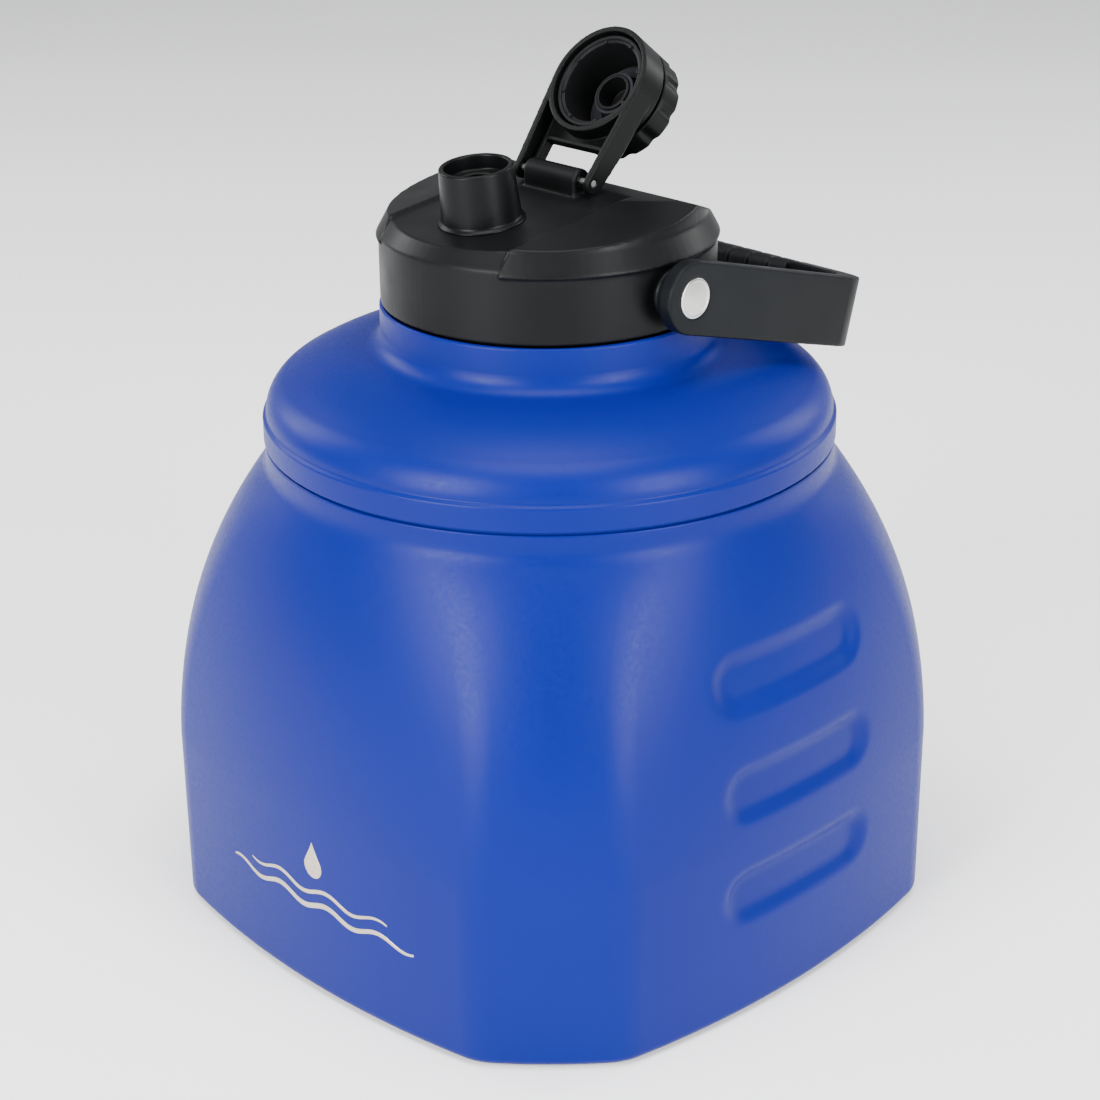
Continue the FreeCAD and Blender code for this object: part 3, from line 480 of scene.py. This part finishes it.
TOP_TILT = math.radians(7)
HINGE = Vector((0, 4.5, 280.2))
CAP_REACH, HINGE_LIFT = 37.5, 4.9
foot = HINGE + Matrix.Rotation(TOP_TILT, 3, "X") @ Vector((0, -CAP_REACH, -HINGE_LIFT))
SPOUT_PLACE = Matrix.Translation(foot) @ Matrix.Rotation(TOP_TILT, 4, "X")
spout_profile = rounded([
    (8.7, -8.5), (14.2, -8.5), (14.2, -0.2), (15.4, -0.2), (15.4, 0.5, 0.5), (14.25, 1.5, 1.4),
    (13.1, 20.2, 0.85), (11.3, 20.2, 0.85), (11.15, 14.8, 0.8), (8.9, 14.0, 0.7), (8.7, 8.0),
])
drinking_spout = lathe("drinking_spout", spout_profile, SPOUT_BLACK, SPOUT_PLACE)
settle(drinking_spout, "lid", "black_plastic", "spout")

# ---------------------------------------------------------------- cap
OPEN = math.radians(52)
ARM_PLACE = Matrix.Translation(HINGE) @ Matrix.Rotation(OPEN, 4, "X")
CAP_PLACE = ARM_PLACE @ Matrix.Translation((0, CAP_REACH, 0))
arm = softened("cap_arm", "flip_arm", CAP_BLACK, 0.26, 5, 0.7)
settle(arm, "cap_arm", "black_plastic", "flip_arm")


def fluted(r, z, angle):
    """Twelve wide finger flutes around the knob, fading towards its face."""
    if r < 15:
        return r
    wave = max(0.0, math.cos(12 * angle))
    fade = smoothstep((-10.4 - z) / 1.2) * smoothstep((z + 20.2) / 0.8)
    return r - 0.9 * wave ** 1.5 * fade * smoothstep((r - 17.5) / 2)


knob_profile = rounded([
    (17.05, -9.95), (21.0, -9.95, 0.5), (21.0, -11.5), (21.0, -13.5), (21.0, -15.5), (21.0, -17.2),
    (21.0, -19.7, 2.4), (16.5, -19.7, 0.5), (15.6, -19.25, 0.5), (0, -19.25), (0, -18.3), (17.05, -18.3),
])
knob = lathe("knob", knob_profile, CAP_BLACK, CAP_PLACE, 240, fluted)
settle(knob, "cap_knob", "black_plastic", "twist_knob")

cup_profile = rounded([
    (0, -18.25), (16.85, -18.25), (16.85, -6.15), (18.25, -6.15), (18.25, 1.5, 0.6), (16.9, 1.5, 0.4),
    (16.6, 0.6, 0.3), (15.7, 0.4, 0.4), (15.5, -2.0), (15.5, -16.4, 0.6), (9.6, -16.4, 0.4),
    (7.4, -15.4, 0.5), (7.1, -6.9, 0.5), (5.8, -6.9, 0.5), (5.7, -15.4, 0.4), (0, -15.4),
])
cup_parts = [lathe("cup_bowl", cup_profile, CUP_BLACK)]
for k in range(4):
    turn = Matrix.Rotation(math.pi / 2 * k, 4, "Z")
    side = [(6.9, -16.5), (10.0, -16.5), (9.9, -15.6), (7.5, -12.8), (6.9, -12.8)]
    points = [(x, y, z) for y in (-0.65, 0.65) for x, z in side]
    n = len(side)
    faces = [tuple(range(n)), tuple(range(2 * n - 1, n - 1, -1))]
    faces += [(i, (i + 1) % n, (i + 1) % n + n, i + n) for i in range(n)]
    cup_parts.append(make(f"cup_rib_{k}", points, faces, CUP_BLACK, turn))
for k in range(8):
    angle = math.pi / 4 * (k + 0.5)
    dot = rounded([(0, 0.55), (0.75, 0.55), (0.75, 1.15, 0.3), (0, 1.2)], 3)
    spot = Matrix.Translation((16.15 * math.cos(angle), 16.15 * math.sin(angle), 0))
    cup_parts.append(lathe(f"cup_dot_{k}", dot, CUP_BLACK, spot, 16))
cup = merge("stopper", cup_parts)
cup.data.transform(in_metres(CAP_PLACE))
settle(cup, "cap_knob", "stopper_plastic", "stopper_cup")

# ---------------------------------------------------------------- carry handle
strap = softened("handle_strap", "handle_frame", HANDLE_BLACK, 0.5, 10, 0.5)
settle(strap, "handle", "handle_plastic", "handle_frame")
sleeve = softened("handle_sleeve", "handle_grip", GRIP_BLACK, 0.3, 5, 0.6)
settle(sleeve, "handle", "grip_rubber", "handle_grip")
disc_profile = rounded([
    (0, 71.25), (7.15, 71.25), (7.15, 72.0, 0.35), (6.3, 72.2, 0.3), (6.0, 72.05, 0.3), (3.0, 72.35),
    (0, 72.45),
])
for side, word in ((1, "right"), (-1, "left")):
    facing = Matrix.Translation(PIVOT) @ Matrix.Rotation(side * math.pi / 2, 4, "Y")
    disc = lathe("pivot_cover_" + word, disc_profile, DISC_STEEL, facing, 96)
    settle(disc, "handle", "steel", "pivot_disc_" + word)

# ---------------------------------------------------------------- etched mark: a drop over two waves
WAVE_HEIGHT, WAVE_LENGTH = 1.6, 26


def on_face(x, z, lift):
    """A point on the front face, lift above the coat."""
    spots, normals = ring(z, 0.0)
    front = spots[:, 1] < -60
    order = np.argsort(spots[front][:, 0])
    y = float(np.interp(x, spots[front][order, 0], spots[front][order, 1]))
    return (x, y - lift + SKIN_INSET, z)


def inlay(outer, steps):
    """A thin patch on the front face from strips (x, low z, high z)."""
    points, faces = [], []
    for x, low, high in outer:
        for lift in (-0.25, 0.03):
            for k in range(steps + 1):
                points.append(on_face(x, low + (high - low) * k / steps, lift))
    n = steps + 1
    for i in range(len(outer) - 1):
        a, b = i * 2 * n, (i + 1) * 2 * n
        for k in range(steps):
            faces.append((a + k, a + k + 1, b + k + 1, b + k))
            faces.append((a + n + k, b + n + k, b + n + k + 1, a + n + k + 1))
        faces.append((a, b, b + n, a + n))
        faces.append((a + steps, a + n + steps, b + n + steps, b + steps))
    for a in (0, (len(outer) - 1) * 2 * n):
        faces += [(a + k, a + n + k, a + n + k + 1, a + k + 1) for k in range(steps)]
    return points, faces


def wave(middle, left, right, level, thick):
    """Columns of a wavy line that thins out towards its ends."""
    columns = []
    for k in range(81):
        x = left + (right - left) * k / 80
        crest = level + WAVE_HEIGHT * math.sin((x - middle) * 2 * math.pi / WAVE_LENGTH)
        body = thick * math.sin(math.pi * min(1, 0.02 + 0.96 * k / 80)) ** 0.35
        columns.append((x, crest - body / 2, crest + body / 2))
    return columns


def drop(middle, low, high, half):
    """Columns of a drop shape with a round foot and a pointed top."""
    columns = []
    bulge = low + half
    for k in range(41):
        x = -half * math.cos(math.pi * k / 40) * 0.999
        foot_z = bulge - math.sqrt(max(0.0, half * half - x * x))
        share = 1 - abs(x) / half
        shoulder = math.sqrt(max(0.0, half * half - x * x)) * (1 - share) * 0.9
        head = bulge + (high - bulge) * share ** 1.5 + shoulder
        columns.append((middle + x, foot_z, head))
    return columns


MARK_X = 7
motifs = (wave(MARK_X, -42, 56, 37.5, 2.2), wave(MARK_X, -30, 44, 43.2, 1.7), drop(MARK_X, 49, 63.5, 4.6))
marks = [make(f"mark_{index}", *inlay(columns, 4), MARK_STEEL) for index, columns in enumerate(motifs)]
settle(merge("etched_mark", marks), "jug", "steel")

# ---------------------------------------------------------------- CAD pieces that stay as they are
KEPT = {
    "base_plate": PLATE_STEEL, "base_pad": FOOT_BLACK, "vacuum_seal_cap": SCREW_STEEL,
    "inner_vessel": VESSEL_STEEL, "neck_ring": LID_BLACK, "lid_liner": LID_BLACK, "lid_gasket": SILICONE,
    "hinge_pin": SCREW_STEEL,
    "pivot_bush_left": SCREW_STEEL, "pivot_bush_right": SCREW_STEEL, "pivot_screw_left": SCREW_STEEL,
    "pivot_screw_right": SCREW_STEEL, "rim_seal": SEAL_GREY, "plug_seal": SEAL_GREY,
}
for node, material in KEPT.items():
    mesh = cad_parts[node].data
    mesh.materials.clear()
    mesh.materials.append(material)

# ---------------------------------------------------------------- stage, light and camera
floor_mesh = bpy.data.meshes.new("floor")
floor_mesh.from_pydata([(-6, -6, 0), (6, -6, 0), (6, 6, 0), (-6, 6, 0)], [], [(0, 1, 2, 3)])
floor = bpy.data.objects.new("floor", floor_mesh)
bpy.context.scene.collection.objects.link(floor)
paper = Shade("paper_floor", (0.93, 0.93, 0.93), 0.75)
paper.tint(paper.noise(3.0, 2.0), 0.99, 1.0)
floor_mesh.materials.append(paper.mat)

world = bpy.data.worlds.new("studio")
world.use_nodes = True
world.node_tree.nodes["Background"].inputs["Color"].default_value = (0.95, 0.97, 1.0, 1)
world.node_tree.nodes["Background"].inputs["Strength"].default_value = 0.62
bpy.context.scene.world = world

TARGET = Vector((0, 0, 0.15))


def softbox(name, azimuth, elevation, distance, width, height, power):
    """An area light aimed at the jug; azimuth 0 looks from -Y, turning towards +X."""
    a, e = math.radians(azimuth), math.radians(elevation)
    away = Vector((math.sin(a) * math.cos(e), -math.cos(a) * math.cos(e), math.sin(e)))
    light = bpy.data.lights.new(name, "AREA")
    light.shape = "RECTANGLE"
    light.size, light.size_y = width, height
    light.energy = power
    lamp = bpy.data.objects.new(name, light)
    lamp.location = TARGET + away * distance
    lamp.rotation_euler = away.to_track_quat("Z", "Y").to_euler()
    bpy.context.scene.collection.objects.link(lamp)


softbox("left_box", 4, 20, 1.5, 0.6, 1.0, 48)
softbox("right_box", 88, 18, 1.5, 0.5, 1.0, 36)
softbox("top_box", 40, 80, 1.6, 1.2, 1.2, 40)
softbox("back_right_box", 165, 25, 1.8, 0.6, 1.0, 16)
softbox("back_left_box", 285, 25, 1.8, 0.6, 1.0, 16)

AZIMUTH, ELEVATION, DISTANCE, ROLL = math.radians(45.7), math.radians(23.2), 0.912, math.radians(0.55)
back = Vector((
    math.sin(AZIMUTH) * math.cos(ELEVATION), -math.cos(AZIMUTH) * math.cos(ELEVATION), math.sin(ELEVATION),
))
right = Vector((math.cos(AZIMUTH), math.sin(AZIMUTH), 0))
up = back.cross(right)
lens = bpy.data.cameras.new("camera")
SENSOR, FOCAL_SHARE = 36, 2400 / 1100
lens.sensor_width = SENSOR
lens.lens = SENSOR * FOCAL_SHARE
lens.clip_start = 0.01
camera = bpy.data.objects.new("camera", lens)
pose = Matrix((right, up, back)).transposed().to_4x4() @ Matrix.Rotation(-ROLL, 4, "Z")
LOOK_HEIGHT, SIDE_STEP = 0.1356, 0.00034
pose.translation = Vector((0, 0, LOOK_HEIGHT)) - right * SIDE_STEP + back * DISTANCE
camera.matrix_world = pose
bpy.context.scene.collection.objects.link(camera)
bpy.context.scene.camera = camera

bpy.context.view_layer.update()
